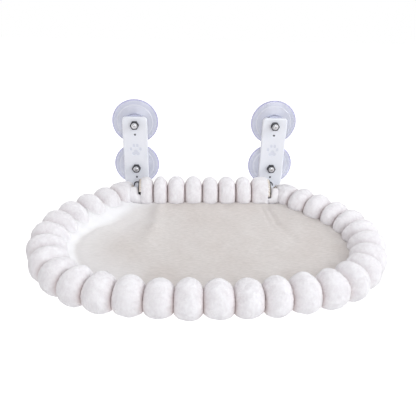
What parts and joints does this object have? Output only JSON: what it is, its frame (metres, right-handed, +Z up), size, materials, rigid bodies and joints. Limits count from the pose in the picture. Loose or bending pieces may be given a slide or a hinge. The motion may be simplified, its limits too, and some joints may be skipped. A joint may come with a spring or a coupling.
{
  "type": "window mounted cat perch",
  "caption": "Half-moon cat bed with a puffed plush rim and a flat mat, hung on folding brackets that hold to a window with suction cups.",
  "frame": {"origin": "on the window's glass, midway between the two brackets, level with the lower suction cups", "axes": "+X along the window, +Y towards the glass, +Z up"},
  "size_m": [0.5198, 0.3615, 0.1884],
  "materials": {
    "clear_vinyl": "clear, glossy",
    "white_coat": "satin powder coat",
    "nickel_steel": "nickel plated",
    "plain_steel": "zinc plated",
    "black_steel": "black oxide",
    "black_rubber": "moulded",
    "bush_plastic": "moulded nylon",
    "plush": "long soft pile",
    "mat_pile": "short soft pile",
    "sling_weave": "plain weave",
    "edge_tape": "woven binding",
    "zip_weave": "woven tape"
  },
  "bodies": {
    "window_side": {"cup_left_upper": "clear_vinyl", "cup_left_lower": "clear_vinyl", "cup_right_upper": "clear_vinyl", "cup_right_lower": "clear_vinyl", "stud_left_upper": "nickel_steel", "stud_left_lower": "nickel_steel", "stud_right_upper": "nickel_steel", "stud_right_lower": "nickel_steel", "nut_left_upper": "nickel_steel", "nut_left_lower": "nickel_steel", "nut_right_upper": "nickel_steel", "nut_right_lower": "nickel_steel", "plate_left": "white_coat", "plate_right": "white_coat", "foot_guide_left": "black_rubber", "foot_guide_right": "black_rubber", "hinge_arm_left": "white_coat", "hinge_arm_right": "white_coat", "hinge_bush_left": "bush_plastic", "hinge_bush_right": "bush_plastic"},
    "bed": {"stop_collar_left": "black_steel", "stop_collar_right": "black_steel", "lock_screws": "plain_steel", "frame_rear_tube": "white_coat", "frame_bow": "white_coat", "rim_rear": "plush", "rim_right": "plush", "rim_front": "plush", "rim_left": "plush", "slit_binding_left": "edge_tape", "slit_binding_right": "edge_tape", "sleeping_mat": "mat_pile", "sling_cloth": "sling_weave", "zip_tape": "zip_weave"},
    "zip_slider": {"zip_slider": "plain_steel"},
    "zip_pull": {"zip_pull": "plain_steel"}
  },
  "joints": [
    {"name": "fold", "type": "hinge", "parent": "window_side", "child": "bed", "pos_m": [0, -0.053, -0.035], "axis": [-1, 0, 0], "range_deg": [0, 95]},
    {"name": "zip_slide", "type": "slide", "parent": "bed", "child": "zip_slider", "axis": [-1, 0, 0], "range_m": [0, 0.2214]},
    {"name": "pull_swing", "type": "hinge", "parent": "zip_slider", "child": "zip_pull", "pos_m": [0.1107, -0.1013, -0.0564], "axis": [0, 1, 0], "range_deg": [-75, 75]}
  ]
}
